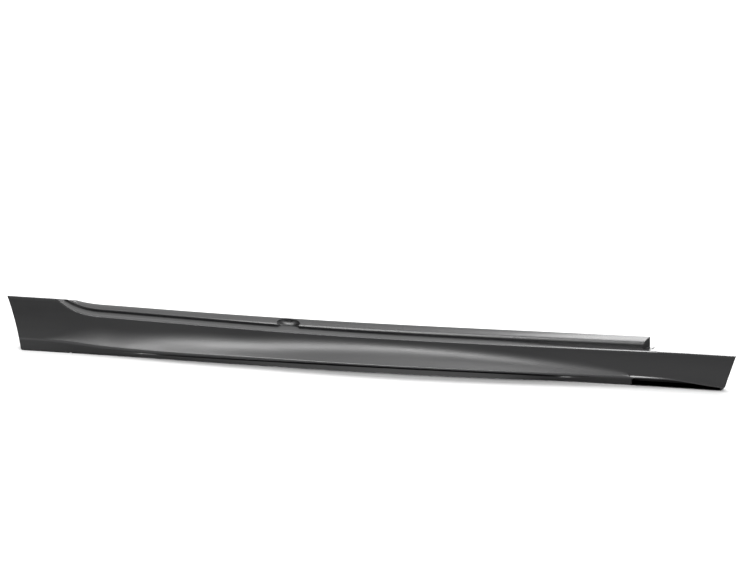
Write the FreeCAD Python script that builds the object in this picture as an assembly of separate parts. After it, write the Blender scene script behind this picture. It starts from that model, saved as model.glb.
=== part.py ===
import FreeCAD, Part
import math
import os

from FreeCAD import Vector

# Moulded side skirt for the right-hand sill of a saloon car, one shell of black plastic.
# X runs along the car with the front at +X, the outer face looks along -Y and Z is up.
# The origin is the middle of the screw row in the floor flange, on its underside.
# All sizes are in millimetres. "out" is a distance outwards, against Y.

# Lengths along the car
REAR_PANEL_LENGTH = 138.0
RAIL_LENGTH = 1624.0
FRONT_PANEL_LENGTH = 238.0

# Heights, each above the one before it, from the underside of the floor flange up
LEDGE_HEIGHT = 109.4
RAIL_FOOT_RISE = 12.1
RAIL_HEIGHT = 15.4
REAR_RISE = 18.1

# Walls
WALL = 3.0
RIB_WALL = 2.4
EDGE_WALL = 2.6

# Places across the car, measured outwards from the screw row
REAR_FACE_OUT = 25.0
FLANGE_BACK_OUT = -27.0

# Side face: its bow in plan, its flare and the crease below it
SIDE_BOW = 20.5
REAR_LEAN = 12.0
FLARE = 22.5
CREASE_REAR_HEIGHT = 24.5
CREASE_LIFT = 12.5
CREASE_REAR_LIFT = 12.0
CREASE_REAR_REACH = 222.0
CREASE_RADIUS = 4.0
BEND_RADIUS = 22.0
BEND_LIFT = 42.0
BEND_FULLNESS = 0.5
LEAST_BEND_RISE = 2.5
STRIP_REAR_OUT = 16.0
STRIP_SWEEP = 24.0
BOW_END_REACH = 100.0
FLARE_SETBACK = 160.0
FLARE_END_REACH = 90.0
BEND_SETBACK = 140.0
BEND_END_SETBACK = 50.0
CREASE_SETBACK = 60.0
CREASE_END_REACH = 388.0
CREASE_DROP_START = 40.0
SWEEP_SETBACK = 500.0

# Ledge under the door and the rail behind it
LEDGE_DEPTH = 17.0
LEDGE_RISE_REAR = 8.5
LEDGE_RISE_FRONT = 1.5
GROOVE_DEPTH = 4.0
GROOVE_START = 40.0
GROOVE_FULL = 100.0
RAIL_DEPTH = 13.0
RAIL_DRAFT = 2.0
RAIL_CROWN = 0.3
RAIL_FULLNESS = 0.68
RAIL_OVERRUN = 4.0
RAIL_LIFT = 6.6
RAIL_LIFT_START = 262.0
RAIL_LIFT_END_SETBACK = 262.0
LEDGE_FALL = 5.5
LEDGE_FALL_LENGTH = 800.0
WEB_DROP = 15.0
TOP_FALL = 12.0
TOP_FALL_LENGTH = 95.0
KICK_LENGTH = 117.0
KICK_STEEPNESS = 47.0
RAIL_KICK_LENGTH = 110.0
RAIL_KICK_STEEPNESS = 45.0
RAIL_KICK_SETBACK = 12.0
RAIL_END_SLANT = 11.0
LEDGE_TAPER_LENGTH = 44.0

# Scoop in the rail
SCOOP_FROM_KICK = 636.0
SCOOP_WIDTH = 62.0
SCOOP_HEIGHT = 38.0
SCOOP_DEPTH = 27.0
SCOOP_LIFT = 6.0

# Recess under the front panel
RECESS_SETBACK = 47.0
RECESS_DEPTH = 27.0
RECESS_END_RADIUS = 9.0
RECESS_ROOF_DROP = 3.0

# Wheel-arch ends
REAR_END_SLOPE = 37.0
REAR_END_CURVE = 9.0
REAR_FOOT_ROUND = 8.0
FRONT_END_SLOPE = 27.0
FRONT_END_TUCK = 16.0
FRONT_TUCK_HEIGHT = 30.0
END_FLANGE_DEPTH = 22.0

# Floor flange
FLANGE_START = 172.0
NOTCH_LENGTH = 7.0
NOTCH_HEIGHT = 2.6
SCREW_COUNT = 6
SCREW_SPACING = 260.0
SCREW_HOLE_RADIUS = 3.3

# Gussets between the floor flange and the outer wall
GUSSET_COUNT = 7
GUSSET_SPACING = 260.0
GUSSET_HEIGHT = 66.0
GUSSET_DEPTH = 42.0

REAR_HEIGHT = LEDGE_HEIGHT + RAIL_FOOT_RISE + RAIL_HEIGHT + REAR_RISE
LENGTH = REAR_PANEL_LENGTH + RAIL_LENGTH + FRONT_PANEL_LENGTH
X_REAR = -LENGTH / 2
X_KICK = X_REAR + REAR_PANEL_LENGTH
X_RAIL_END = X_KICK + RAIL_LENGTH
X_FRONT = X_RAIL_END + FRONT_PANEL_LENGTH
OVERSHOOT = 12.0
SECTION_COUNT = 31
TALL = REAR_HEIGHT + 25.0
FAR_BACK = FLANGE_BACK_OUT - 30.0


def hump(x, start, end, sharpness=1.25):
    """A smooth rise from nothing at start to one half-way and back to nothing at end."""
    share = min(max((x - start) / (end - start), 0.0), 1.0)
    return max(math.sin(math.pi * share), 0.0) ** sharpness


def ease(x, start, end):
    """A smooth step from nothing at start to one at end."""
    share = min(max((x - start) / (end - start), 0.0), 1.0)
    return share * share * (3.0 - 2.0 * share)


def side_out(x):
    """How far out the upper side face stands."""
    return REAR_FACE_OUT + SIDE_BOW * hump(x, X_KICK, X_RAIL_END + BOW_END_REACH)


def lean(x):
    """The outward lean of the side face over its height, which fades towards the front."""
    return REAR_LEAN * (1.0 - ease(x, X_KICK, X_FRONT))


def crease_height(x):
    """Height of the crease, which runs out into the lower front corner."""
    lift = CREASE_LIFT * hump(x, X_KICK + CREASE_SETBACK, X_RAIL_END + CREASE_END_REACH)
    lift += CREASE_REAR_LIFT * (1.0 - ease(x, X_KICK - CREASE_SETBACK, X_KICK + CREASE_REAR_REACH))
    gone = ease(x, X_RAIL_END + CREASE_DROP_START, X_FRONT)
    drop = (CREASE_REAR_HEIGHT + lift - CREASE_RADIUS) * gone
    return CREASE_REAR_HEIGHT + lift - drop


def flare(x):
    """How far the side face swings out between its bend and the crease."""
    return FLARE * hump(x, X_KICK + FLARE_SETBACK, X_RAIL_END + FLARE_END_REACH)


def crease_out(x):
    """How far out the crease stands."""
    fall = 1.0 - crease_height(x) / REAR_HEIGHT
    return side_out(x) + lean(x) * fall + flare(x)


def bend_height(x):
    """Height of the hollow bend above the crease, highest in the middle of the skirt."""
    lift = BEND_LIFT * hump(x, X_KICK + BEND_SETBACK, X_RAIL_END - BEND_END_SETBACK, BEND_FULLNESS)
    return crease_height(x) + LEAST_BEND_RISE + lift


def strip_out(x):
    """How far out the lower strip meets the floor flange."""
    sweep = STRIP_SWEEP * ease(x, X_KICK + SWEEP_SETBACK, X_RAIL_END)
    return REAR_FACE_OUT + STRIP_REAR_OUT - sweep


def ledge_height(x):
    """Height of the ledge's outer edge, with the curve that carries it up at the rear."""
    fall = LEDGE_FALL * (1.0 - ease(x, X_KICK, X_KICK + LEDGE_FALL_LENGTH))
    rise = REAR_HEIGHT - LEDGE_HEIGHT - LEDGE_FALL
    return LEDGE_HEIGHT + fall + kick_up(x, X_KICK, KICK_STEEPNESS, KICK_LENGTH, rise)


def rail_top(x):
    """Height of the rail's top, with its own curve at the rear."""
    start = X_KICK + RAIL_KICK_SETBACK
    lift = RAIL_LIFT * ease(x, X_KICK + RAIL_LIFT_START, X_RAIL_END - RAIL_LIFT_END_SETBACK)
    level = REAR_HEIGHT - REAR_RISE + lift
    return level + kick_up(x, start, RAIL_KICK_STEEPNESS, RAIL_KICK_LENGTH, REAR_RISE)


def kick_up(x, start, steepness, length, rise):
    """Height of a curve that falls from rise at start to nothing a length further on."""
    if x >= start + length:
        return 0.0
    if x <= start:
        return rise + (start - x) * rise / steepness
    spread = length - 2.0 * steepness
    share = (x - start) / length
    if abs(spread) > 1e-6:
        root = math.sqrt(steepness ** 2 + spread * (x - start))
        share = (root - steepness) / spread
    return rise * (1.0 - share) ** 2


def ledge_rise(x):
    """How much higher the ledge is at the rail than at its outer edge."""
    change = LEDGE_RISE_FRONT - LEDGE_RISE_REAR
    return LEDGE_RISE_REAR + change * ease(x, X_KICK, X_RAIL_END)


def rail_foot(x):
    """Height of the rail's lower edge, which follows the ledge's curve."""
    return ledge_height(x) + RAIL_FOOT_RISE


def groove(x):
    """How deep the groove under the rail is; it starts where the rear curve ends."""
    return GROOVE_DEPTH * (0.1 + 0.9 * ease(x, X_KICK + GROOVE_START, X_KICK + GROOVE_FULL))


def rail_face(x):
    """How far out the lower edge of the rail stands."""
    return side_out(x) - LEDGE_DEPTH + GROOVE_DEPTH


def web_back(x):
    """How far out the back of the rail's web stands."""
    return rail_face(x) - RAIL_DEPTH


def spot(x, out, z):
    """A point of the skirt from its place along the car, outwards and upwards."""
    return Vector(x, -out, z)


def line(first, last):
    """A straight edge."""
    return Part.makeLine(first, last)


def curve(first, pull, last):
    """A curve edge that leaves first towards pull and comes into last from pull."""
    bezier = Part.BezierCurve()
    bezier.setPoles([first, pull, last])
    return bezier.toBSpline().toShape()


def between(first, last, share):
    """The point a share of the way from first to last."""
    return first + (last - first) * share


def stations(start, end, count):
    """Evenly spaced places along the car."""
    return [start + (end - start) * step / (count - 1) for step in range(count)]


def loft(sections):
    """A solid drawn smoothly through closed sections."""
    return Part.makeLoft(sections, True, False)


def side_section(x, inset):
    """Closed section behind the side face, inset from it by a wall."""
    top_out = side_out(x) - inset
    slope = lean(x) / REAR_HEIGHT
    crease = spot(x, crease_out(x) - inset, crease_height(x))
    bend_z = bend_height(x)
    bend = spot(x, top_out + slope * (REAR_HEIGHT - bend_z), bend_z)
    foot = spot(x, strip_out(x) - inset * 1.3, inset)
    floor_z = inset if inset else -OVERSHOOT
    below_foot = between(crease, foot, (crease.z - floor_z) / (crease.z - foot.z))
    reach = min(BEND_RADIUS, 0.75 * (bend_z - crease_height(x)))
    above = spot(x, top_out + slope * (REAR_HEIGHT - bend_z - reach), bend_z + reach)
    below = between(bend, crease, reach / (crease - bend).Length)
    round_off = min(CREASE_RADIUS, 0.2 * crease_height(x))
    before = between(crease, below, min(round_off / (crease - below).Length, 0.8))
    after = between(crease, foot, min(round_off / (crease - foot).Length, 0.45))
    back = FAR_BACK if inset else FLANGE_BACK_OUT
    top_z = TALL + OVERSHOOT if inset else TALL
    top = spot(x, top_out - slope * (top_z - REAR_HEIGHT), top_z)
    back_floor = spot(x, back, floor_z)
    back_top = spot(x, back, top_z)
    edges = [line(top, above), curve(above, bend, below), line(below, before)]
    edges += [curve(before, crease, after), line(after, below_foot)]
    edges += [line(below_foot, back_floor), line(back_floor, back_top), line(back_top, top)]
    return Part.Wire(edges)


def side_body(inset=0.0):
    """Full-length body behind the side face."""
    places = stations(X_REAR - OVERSHOOT, X_FRONT + OVERSHOOT, SECTION_COUNT)
    return loft([side_section(x, inset) for x in places])


def step_section(x, inset):
    """Closed section of the space above the ledge and in front of the rail."""
    side = side_out(x)
    edge_z = ledge_height(x) - inset
    rise = ledge_rise(x)
    far = side + 3.0 * OVERSHOOT
    face = rail_face(x) - inset
    inner = face - groove(x)
    corner = spot(x, inner, edge_z + rise * (side - inner - inset) / LEDGE_DEPTH)
    ledge_end = spot(x, far, edge_z - rise * (far - side) / LEDGE_DEPTH)
    foot_z = rail_foot(x) + inset
    top_z = max(rail_top(x) - inset, foot_z + 1.0)
    groove_top = spot(x, inner, foot_z)
    foot = spot(x, face, foot_z)
    back = face - RAIL_DEPTH - RAIL_OVERRUN
    rail_back = spot(x, back, top_z + RAIL_CROWN)
    pull = spot(x, face - RAIL_DRAFT, foot_z + RAIL_FULLNESS * (top_z - foot_z))
    high_back = spot(x, back, 2.0 * TALL)
    high_front = spot(x, far, 2.0 * TALL)
    edges = [line(ledge_end, corner), line(corner, groove_top), line(groove_top, foot)]
    edges += [curve(foot, pull, rail_back), line(rail_back, high_back)]
    edges += [line(high_back, high_front), line(high_front, ledge_end)]
    return Part.Wire(edges)


def step_space(inset=0.0):
    """The space above the ledge, from its rear curve to past the rail's front end."""
    start = X_KICK - 14.0
    kick_end = X_KICK + KICK_LENGTH
    places = stations(start, kick_end, 11)
    places += stations(kick_end, X_RAIL_END + LEDGE_TAPER_LENGTH + 8.0, 17)[1:]
    return loft([step_section(x, inset) for x in places])


def plan_prism(start, end, out_of, back, low, high):
    """Upright prism between a straight back and a front that follows the plan of the side."""
    places = stations(start, end, 15)
    guide = Part.BSplineCurve()
    guide.interpolate([spot(x, out_of(x), low) for x in places])
    front = guide.toShape()
    first = spot(start, out_of(start), low)
    last = spot(end, out_of(end), low)
    back_first = spot(start, back, low)
    back_last = spot(end, back, low)
    wire = Part.Wire([front, line(last, back_last), line(back_last, back_first), line(back_first, first)])
    return Part.Face(wire).extrude(Vector(0, 0, high - low))


def side_outline(inset=0.0):
    """The skirt's outline seen from the side, as a prism across the car."""
    reach = 2.0 * TALL
    rear_low = X_REAR + REAR_END_SLOPE
    rear_mid = (X_REAR + rear_low) / 2 + REAR_END_CURVE / 2
    front_low = X_FRONT - FRONT_END_SLOPE
    step = X_RAIL_END + LEDGE_TAPER_LENGTH
    rear_top = spot(X_REAR + inset, reach, REAR_HEIGHT)
    rear_bulge = spot(rear_mid + inset, reach, REAR_HEIGHT / 2)
    rear_end = spot(rear_low + inset, reach, REAR_FOOT_ROUND)
    rear_corner = spot(rear_low + inset + 1.0, reach, 0.0)
    rear_foot = spot(rear_low + inset + REAR_FOOT_ROUND, reach, 0.0)
    front_foot = spot(front_low - FRONT_END_TUCK - inset, reach, 0.0)
    front_bend = spot(front_low - inset, reach, FRONT_TUCK_HEIGHT * 0.45)
    front_mid = spot(front_low - inset + 2.0, reach, FRONT_TUCK_HEIGHT)
    front_top = spot(X_FRONT - inset, reach, LEDGE_HEIGHT)
    step_low = spot(step, reach, LEDGE_HEIGHT)
    step_high = spot(step, reach, REAR_HEIGHT)
    edges = [Part.Arc(rear_top, rear_bulge, rear_end).toShape()]
    edges += [curve(rear_end, rear_corner, rear_foot), line(rear_foot, front_foot)]
    edges += [curve(front_foot, front_bend, front_mid), line(front_mid, front_top)]
    edges += [line(front_top, step_low), line(step_low, step_high), line(step_high, rear_top)]
    return Part.Face(Part.Wire(edges)).extrude(Vector(0, 2.0 * reach, 0))


def scoop(inset=0.0):
    """Egg-shaped hollow that opens the rail to the ledge."""
    x = X_KICK + SCOOP_FROM_KICK
    ball = Part.makeSphere(1.0)
    stretch = FreeCAD.Matrix()
    stretch.scale(SCOOP_WIDTH / 2 + inset, SCOOP_DEPTH / 2 + inset, SCOOP_HEIGHT / 2 + inset)
    egg = ball.transformGeometry(stretch)
    egg.translate(spot(x, rail_face(x), LEDGE_HEIGHT + ledge_rise(x) + SCOOP_LIFT))
    return egg


def rail_end_cut(inset=0.0):
    """Everything above the ledge and ahead of the rail's slanted end."""
    rail_front = rail_face(X_RAIL_END)
    rail_back = web_back(X_RAIL_END)
    slope = RAIL_END_SLANT / RAIL_DEPTH
    reach = 3.0 * OVERSHOOT
    low = LEDGE_HEIGHT + ledge_rise(X_RAIL_END) + 0.6 - 1.2 * inset
    start = X_RAIL_END - 1.4 * inset
    near = spot(start - RAIL_END_SLANT - slope * reach, rail_front + reach, low)
    back = spot(start + slope * reach, rail_back - reach, low)
    ahead_back = spot(X_FRONT + reach, rail_back - reach, low)
    ahead_near = spot(X_FRONT + reach, rail_front + reach, low)
    wire = Part.makePolygon([near, back, ahead_back, ahead_near, near])
    return Part.Face(wire).extrude(Vector(0, 0, TALL))


def fall_cut(start, end, top, inset=0.0):
    """Everything above a top that falls away behind the panel's edge."""
    face = REAR_FACE_OUT - WALL
    depth = face - FAR_BACK
    fall = TOP_FALL * depth / (LEDGE_DEPTH - GROOVE_DEPTH + RAIL_DEPTH - WALL)
    front = face + 2.0 * OVERSHOOT
    level = top - inset
    corners = [(face, level), (FAR_BACK, level - fall), (FAR_BACK, 2.0 * TALL), (front, 2.0 * TALL)]
    corners += [(front, level + WALL), (face, level)]
    wire = Part.makePolygon([spot(start, out, z) for out, z in corners])
    return Part.Face(wire).extrude(Vector(end - start, 0, 0))


def top_fall_cut(inset=0.0):
    """Everything above the rear panel's top."""
    return fall_cut(X_REAR - 2.0 * OVERSHOOT, X_KICK + TOP_FALL_LENGTH, REAR_HEIGHT, inset)


def front_fall_cut():
    """Everything above the top of the front wheel-arch wall."""
    start = X_RAIL_END + BOW_END_REACH
    return fall_cut(start, X_FRONT + 2.0 * OVERSHOOT, LEDGE_HEIGHT)


def ledge_taper_cut():
    """The space behind the ledge's end, which curves forward into the front panel's edge."""
    low = LEDGE_HEIGHT - WEB_DROP - 2.0
    end = X_RAIL_END + LEDGE_TAPER_LENGTH
    first = spot(X_RAIL_END + 1.0, web_back(X_RAIL_END) - 0.5, low)
    pull = spot(X_RAIL_END + WALL, side_out(end) - EDGE_WALL, low)
    last = spot(end, side_out(end) - EDGE_WALL, low)
    bow_end = spot(X_RAIL_END + BOW_END_REACH, REAR_FACE_OUT - EDGE_WALL, low)
    far_last = spot(X_FRONT + OVERSHOOT, REAR_FACE_OUT - EDGE_WALL, low)
    back_last = spot(X_FRONT + OVERSHOOT, FAR_BACK - OVERSHOOT, low)
    back_first = spot(X_RAIL_END + 1.0, FAR_BACK - OVERSHOOT, low)
    edges = [curve(first, pull, last), line(last, bow_end)]
    edges += [line(bow_end, far_last), line(far_last, back_last)]
    edges += [line(back_last, back_first), line(back_first, first)]
    return Part.Face(Part.Wire(edges)).extrude(Vector(0, 0, TALL))


def end_flanges():
    """The walls that turn in along both wheel-arch ends."""
    margin = 3.0 * OVERSHOOT
    band = side_outline().cut(side_outline(WALL))
    inner = lambda x: side_out(x) - END_FLANGE_DEPTH
    reach = plan_prism(X_REAR - margin, X_FRONT + margin, inner, FAR_BACK - margin, -margin, TALL + margin)
    return band.cut(reach)


def gussets():
    """Triangular ribs between the floor flange and the outer wall."""
    ribs = []
    for number in range(GUSSET_COUNT):
        x = (number - (GUSSET_COUNT - 1) / 2) * GUSSET_SPACING
        side = side_out(x)
        front = side + 2.0 * GUSSET_DEPTH
        corners = [(side - GUSSET_DEPTH, 0.0), (front, 0.0), (front, GUSSET_HEIGHT), (side - WALL, GUSSET_HEIGHT)]
        corners.append(corners[0])
        wire = Part.makePolygon([spot(x - RIB_WALL / 2, out, z) for out, z in corners])
        ribs.append(Part.Face(wire).extrude(Vector(RIB_WALL, 0, 0)))
    return Part.makeCompound(ribs)


def rear_flange_gap():
    """The space where the floor flange has not started yet, behind the rear panel."""
    end = X_REAR + FLANGE_START
    front = strip_out(X_REAR) - 3.0 * WALL
    width = front - FAR_BACK
    return Part.makeBox(FLANGE_START + OVERSHOOT, width, 2.0 * WALL, Vector(X_REAR - OVERSHOOT, -front, -WALL))


def flange_notch():
    """The small notch at the start of the floor flange."""
    start = X_REAR + FLANGE_START
    front = strip_out(start) + OVERSHOOT
    width = 2.0 * WALL + OVERSHOOT
    return Part.makeBox(NOTCH_LENGTH, width, NOTCH_HEIGHT + 1.0, Vector(start, -front, -1.0))


def screw_holes():
    """The row of screw holes in the floor flange."""
    holes = []
    for number in range(SCREW_COUNT):
        x = (number - (SCREW_COUNT - 1) / 2) * SCREW_SPACING
        holes.append(Part.makeCylinder(SCREW_HOLE_RADIUS, 3 * WALL, Vector(x, 0, -WALL)))
    return Part.makeCompound(holes)


def front_recess(inset=0.0):
    """Deep hollow under the front panel, with a round rear end."""
    start = X_RAIL_END - RECESS_SETBACK - inset
    radius = RECESS_END_RADIUS + inset
    low = WALL - inset
    outer = -TALL
    places = stations(start + radius, X_FRONT - FRONT_END_SLOPE - FRONT_END_TUCK, 9)
    guide = Part.BSplineCurve()
    drop = RECESS_ROOF_DROP - inset
    guide.interpolate([Vector(x, outer, crease_height(x) - drop) for x in places])
    roof_first = guide.value(guide.FirstParameter)
    roof_last = guide.value(guide.LastParameter)
    side_low = Vector(start, outer, low)
    side_high = Vector(start, outer, roof_first.z - radius)
    corner = radius * (1 - math.sqrt(0.5))
    side_mid = Vector(start + corner, outer, roof_first.z - corner)
    end_low = Vector(roof_last.x, outer, low)
    edges = [line(side_low, side_high), Part.Arc(side_high, side_mid, roof_first).toShape()]
    edges += [guide.toShape(), line(roof_last, end_low), line(end_low, side_low)]
    back = strip_out(X_RAIL_END) - RECESS_DEPTH - inset
    return Part.Face(Part.Wire(edges)).extrude(Vector(0, -back - outer, 0))


def outer_form():
    """The skirt's outside, still solid behind."""
    form = side_body()
    web_foot = LEDGE_HEIGHT - WEB_DROP
    behind = plan_prism(X_REAR - 2 * OVERSHOOT, X_FRONT + 2 * OVERSHOOT, web_back, FAR_BACK - OVERSHOOT,
                        web_foot - 2.0, TALL + 5 * OVERSHOOT)
    form = form.cut(behind)
    for space in [step_space(), scoop(), front_recess(), rail_end_cut(), flange_notch(), top_fall_cut()]:
        form = form.cut(space)
    return form.common(side_outline())


def hollow_form():
    """The space behind the wall, open to the car."""
    form = side_body(WALL)
    web = plan_prism(X_KICK, X_RAIL_END, lambda x: web_back(x) + WALL, FAR_BACK - OVERSHOOT,
                     LEDGE_HEIGHT - WEB_DROP, TALL + 5 * OVERSHOOT)
    kept_walls = [web, step_space(WALL), scoop(WALL), front_recess(WALL), rail_end_cut(WALL), top_fall_cut(WALL)]
    for kept in kept_walls:
        form = form.cut(kept)
    for kept in [end_flanges(), gussets()]:
        form = form.cut(kept)
    return form


def build_skirt():
    """The whole moulded shell."""
    shell = outer_form().cut(hollow_form())
    for space in [ledge_taper_cut(), front_fall_cut(), rear_flange_gap(), screw_holes()]:
        shell = shell.cut(space)
    return shell


def main():
    """Write the shell."""
    os.makedirs("parts", exist_ok=True)
    skirt = build_skirt()
    skirt.exportStep("parts/skirt_shell.step")


main()
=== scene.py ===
"""Black moulded car side skirt on a plain pale floor.

The skin is swept through the CAD shell's section laws, at a finer pitch and with small
rounded edges. The step under the crease, the ledge's slope and lip, the rear's flare and the
wider hollow in the rail are the look's own. Laws work in millimetres, meshes are in metres.
"""
import logging
import math
from bisect import bisect_right
from dataclasses import dataclass, field
from enum import Enum
from typing import Callable, Sequence

import bpy
import numpy as np
from mathutils import Matrix, Vector
from mathutils.geometry import tessellate_polygon


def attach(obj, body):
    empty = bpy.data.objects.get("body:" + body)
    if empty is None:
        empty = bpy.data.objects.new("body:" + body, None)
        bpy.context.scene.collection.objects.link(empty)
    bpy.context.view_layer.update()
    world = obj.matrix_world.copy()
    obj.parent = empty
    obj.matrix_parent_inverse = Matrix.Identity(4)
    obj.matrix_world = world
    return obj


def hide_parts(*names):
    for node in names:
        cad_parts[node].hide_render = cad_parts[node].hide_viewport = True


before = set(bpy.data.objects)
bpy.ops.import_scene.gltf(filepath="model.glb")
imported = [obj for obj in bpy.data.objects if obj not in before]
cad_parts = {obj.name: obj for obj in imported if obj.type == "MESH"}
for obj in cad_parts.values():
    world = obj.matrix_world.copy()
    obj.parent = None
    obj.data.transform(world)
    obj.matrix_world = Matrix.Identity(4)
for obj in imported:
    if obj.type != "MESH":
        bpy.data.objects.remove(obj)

logging.basicConfig(level=logging.INFO, format="%(message)s")
log = logging.getLogger("skirt")

MM = 0.001
MERGE = 2e-6
SMOOTH_ANGLE = 28.0
BODY = "root"
CAD_NODE = "skirt_shell"
Array = np.ndarray
Thing = bpy.types.Object
Spot = tuple[Array, Array]


@dataclass(frozen=True)
class Sizes:
    """Sizes of the skirt in millimetres, most of them the same as in the CAD source."""

    rear_panel: float = 138.0
    rail_length: float = 1624.0
    front_panel: float = 238.0
    ledge: float = 109.4
    rail_foot_rise: float = 12.1
    rail_height: float = 15.4
    rear_rise: float = 18.1
    wall: float = 3.0
    rib: float = 2.4
    face_out: float = 25.0
    back_out: float = -27.0
    bow: float = 20.5
    lean: float = 12.0
    flare: float = 22.4
    crease: float = 24.5
    crease_lift: float = 12.5
    crease_rear_lift: float = 12.0
    crease_radius: float = 4.0
    bend_radius: float = 22.0
    bend_reach: float = 32.0
    rear_flare: float = 7.0
    rear_bend_lift: float = 34.0
    bend_lift: float = 42.0
    strip_out: float = 41.0
    strip_sweep: float = 24.0
    rear_tuck: float = 5.0
    ledge_depth: float = 17.0
    rise_rear: float = 7.5
    rise_front: float = 7.0
    rise_end: float = 1.5
    front_crease: float = 13.0
    groove: float = 4.0
    rail_depth: float = 13.0
    web_drop: float = 15.0
    top_fall: float = 12.0 / 23.0
    kick_length: float = 117.0
    kick_steepness: float = 47.0
    rail_kick_length: float = 110.0
    rail_kick_steepness: float = 45.0
    rail_kick_setback: float = 12.0
    rail_slant: float = 17.0
    rail_draft: float = 2.0
    rail_fullness: float = 0.68
    rail_overrun: float = 4.0
    rail_lift: float = 6.6
    ledge_fall: float = 5.5
    taper: float = 44.0
    flange_start: float = 172.0
    notch_length: float = 7.0
    notch_height: float = 2.6
    lip_depth: float = 4.0
    lip_drop: float = 3.0
    lip_reach: float = 60.0
    small_lip: float = 0.2
    foot_radius: float = 1.2
    rear_flange: float = 9.0
    notch_depth: float = 6.0
    bend_gap: float = 2.5
    taper_start: float = 1.0
    taper_pull: float = 2.0
    rail_corner: float = 0.8
    rail_least: float = 1.0
    rail_crown: float = 0.3
    recess_start: float = 47.0
    recess_end: float = 43.0
    recess_radius: float = 9.0
    recess_roof: float = 3.0
    recess_depth: float = 27.0
    arch_depth: float = 22.0
    gusset_count: int = 7
    gusset_spacing: float = 260.0
    gusset_height: float = 66.0
    gusset_depth: float = 42.0
    screw_count: int = 6
    screw_spacing: float = 260.0
    screw_radius: float = 3.3

    @property
    def rear(self) -> float:
        """Rear end along X."""
        return -(self.rear_panel + self.rail_length + self.front_panel) / 2

    @property
    def kick(self) -> float:
        """Place where the ledge's rear curve starts."""
        return self.rear + self.rear_panel

    @property
    def rail_end(self) -> float:
        """Front end of the rail."""
        return self.kick + self.rail_length

    @property
    def front(self) -> float:
        """Front end along X."""
        return self.rail_end + self.front_panel

    @property
    def top(self) -> float:
        """Height of the rear panel's top."""
        return self.ledge + self.rail_foot_rise + self.rail_height + self.rear_rise


S = Sizes()
Span = tuple[float, float]


@dataclass(frozen=True)
class Spans:
    """Where forms grow or fade along the car, each from its start to its end along X."""

    bow: Span = (S.kick, S.rail_end + 100.0)
    crease_lift: Span = (S.kick + 60.0, S.rail_end + 388.0)
    crease_rear_fade: Span = (S.kick - 60.0, S.kick + 222.0)
    crease_fall: Span = (S.rail_end + 40.0, S.front)
    flare: Span = (S.kick + 160.0, S.rail_end + 90.0)
    rear_growth: Span = (S.kick - 60.0, S.kick + 140.0)
    rear_flare_fade: Span = (S.kick + 260.0, S.kick + 620.0)
    rear_bend_fade: Span = (S.kick + 400.0, S.kick + 700.0)
    bend_lift: Span = (S.kick + 140.0, S.rail_end - 50.0)
    strip_sweep: Span = (S.kick + 500.0, S.rail_end)
    rear_tuck_fade: Span = (S.kick + 100.0, S.kick + 500.0)
    ledge_fall: Span = (S.kick, S.kick + 800.0)
    rail_lift: Span = (S.kick + 262.0, S.rail_end - 262.0)
    rise_fade: Span = (S.rail_end - 460.0, S.rail_end - 60.0)
    step_fade: Span = (S.rail_end - 420.0, S.rail_end - 60.0)
    groove: Span = (S.kick + 40.0, S.kick + 100.0)
    rear_edge: Span = (S.rear, S.kick - 10.0)
    front_edge: Span = (S.front - 130.0, S.front)
    slant_growth: Span = (S.rail_end - 60.0, S.rail_end)
    slant_fade: Span = (S.rail_end, S.rail_end + 40.0)


AT = Spans()

# Greatest shares that small curves take: of the straights beside the bend, of the strip
# beside the foot, and for the crease of its height, of the flare and of the strip
BEND_SHARE = 0.75
FOOT_SHARE = 0.4
CREASE_SHARES = (0.2, 0.8, 0.45)
# How much further in the foot's inside stands than a wall, as the strip leans
FOOT_INSET = 1.3
# Share of the groove at its rear start, and the power that blends the bend's two lifts
GROOVE_START = 0.02
BLEND = 4
# Overhang of the crease at which the step under it starts, and at which it is full
STEP_OVERHANG = (1.0, 26.0)
# How far the hidden pieces stop short of the skin, and a distance out past the whole skirt
SKIN_GAP = 0.4
CLEAR = 90.0


def hump(x: Array, start: float, end: float, sharpness: float = 1.25) -> Array:
    """Smooth rise to one half-way between start and end, and nothing outside them."""
    share = np.clip((x - start) / (end - start), 0.0, 1.0)
    return np.maximum(np.sin(math.pi * share), 0.0) ** sharpness


def ease(x: Array, start: float, end: float) -> Array:
    """Smooth step from nothing at start to one at end."""
    share = np.clip((x - start) / (end - start), 0.0, 1.0)
    return share * share * (3.0 - 2.0 * share)


def mix(first: Spot, last: Spot, share: Array | float) -> Spot:
    """The point a share of the way from first to last."""
    return (
        first[0] + (last[0] - first[0]) * share,
        first[1] + (last[1] - first[1]) * share,
    )


def bezier(first: Spot, pull: Spot, last: Spot, t: float) -> Spot:
    """A point of the curve that leaves first and comes into last through pull."""
    a, b, c = (1 - t) ** 2, 2 * t * (1 - t), t * t
    return tuple(a * f + b * p + c * g for f, p, g in zip(first, pull, last))


def apart(first: Spot, last: Spot) -> Array:
    """Distance between two points of the section."""
    return np.hypot(last[0] - first[0], last[1] - first[1])


def curve(first: float, pull: float, last: float, t: Array) -> Array:
    """Value of the curve that leaves first and comes into last through pull."""
    return first * (1 - t) ** 2 + 2 * pull * t * (1 - t) + last * t * t


def curve_share(gone: Array, pull: float, length: float) -> Array:
    """Share of a curve at which it has gone a way along its axis.

    Args:
        gone: The way along the axis.
        pull: Place of the curve's middle corner on the axis.
        length: The curve's length along the axis.

    Returns:
        The share, from nothing to one.
    """
    spread = length - 2.0 * pull
    inside = np.maximum(pull**2 + spread * gone, 0.0)
    return np.clip((np.sqrt(inside) - pull) / spread, 0.0, 1.0)


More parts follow.
